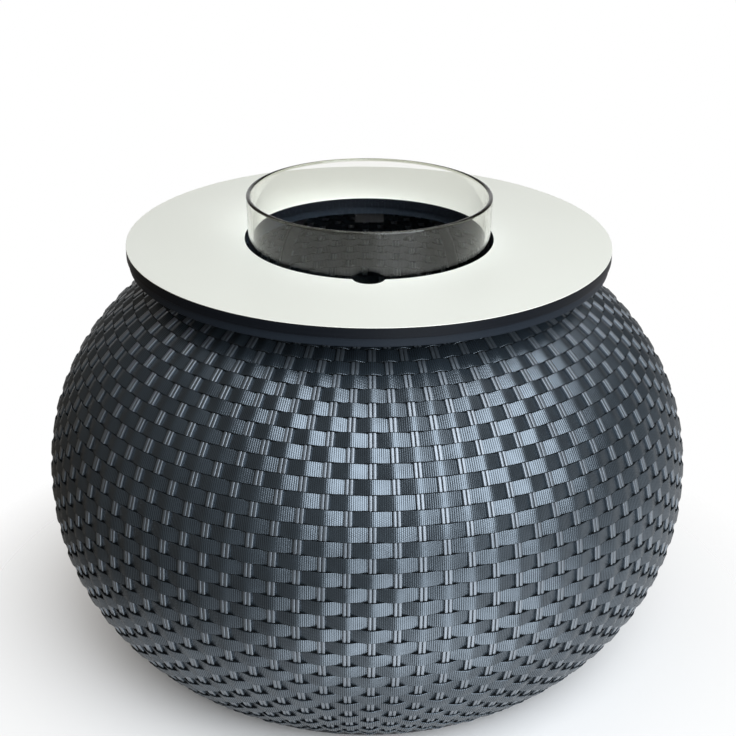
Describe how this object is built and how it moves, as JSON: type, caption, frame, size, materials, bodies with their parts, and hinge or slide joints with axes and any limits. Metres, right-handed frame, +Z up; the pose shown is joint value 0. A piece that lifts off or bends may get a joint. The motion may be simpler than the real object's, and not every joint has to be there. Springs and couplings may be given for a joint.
{
  "type": "ice bucket coffee table",
  "caption": "Low round coffee table with a woven ball-shaped basket base, a lift-off laminate top and a lift-out glass ice bucket set in a hole in the middle.",
  "frame": {"origin": "on the floor, at the centre of the table's base", "axes": "+Z up along the table's axis; -Y is the front, where the finger scoop is cut in the hole's edge; +X to the right of someone who faces the front"},
  "size_m": [0.6046, 0.6042, 0.441],
  "materials": {
    "woven_resin": "satin woven resin strip, charcoal, ribbed",
    "powder_coated_frame": "matt powder-coated aluminium",
    "white_laminate": "off-white compact laminate, silk matt",
    "black_board": "black phenolic core, fine satin edge",
    "under_ring_board": "dark grey satin",
    "clear_glass": "clear, polished, faint green-grey in its edge",
    "rubber": "matt",
    "black_nylon": "moulded, matt",
    "screw_steel": "stainless"
  },
  "bodies": {
    "basket": {"woven_cover": "woven_resin", "neck_ring": "powder_coated_frame", "upper_hoop": "powder_coated_frame", "lower_hoop": "powder_coated_frame", "base_ring": "powder_coated_frame", "rib_1": "powder_coated_frame", "rib_2": "powder_coated_frame", "rib_3": "powder_coated_frame", "rib_4": "powder_coated_frame", "rib_5": "powder_coated_frame", "rib_6": "powder_coated_frame", "rib_7": "powder_coated_frame", "rib_8": "powder_coated_frame", "tray_arm_1": "powder_coated_frame", "tray_arm_2": "powder_coated_frame", "tray_arm_3": "powder_coated_frame", "tray_arm_4": "powder_coated_frame", "bucket_tray": "powder_coated_frame", "tray_pad": "rubber", "rest_pad_1": "rubber", "rest_pad_2": "rubber", "rest_pad_3": "rubber", "rest_pad_4": "rubber", "foot_glide_1": "black_nylon", "foot_glide_2": "black_nylon", "foot_glide_3": "black_nylon", "foot_glide_4": "black_nylon", "glide_screw_1": "screw_steel", "glide_screw_2": "screw_steel", "glide_screw_3": "screw_steel", "glide_screw_4": "screw_steel"},
    "table_top": {"top_decor": "white_laminate", "top_board": "black_board", "under_ring": "under_ring_board", "locating_block_1": "black_nylon", "locating_block_2": "black_nylon", "locating_block_3": "black_nylon", "locating_block_4": "black_nylon", "block_screw_1": "screw_steel", "block_screw_2": "screw_steel", "block_screw_3": "screw_steel", "block_screw_4": "screw_steel"},
    "ice_bucket": {"glass_bucket": "clear_glass"}
  },
  "joints": [
    {"name": "top_lift", "type": "slide", "parent": "basket", "child": "table_top", "axis": [0, 0, 1], "range_m": [0, 0.1]},
    {"name": "bucket_lift", "type": "slide", "parent": "basket", "child": "ice_bucket", "axis": [0, 0, 1], "range_m": [0, 0.26]}
  ]
}
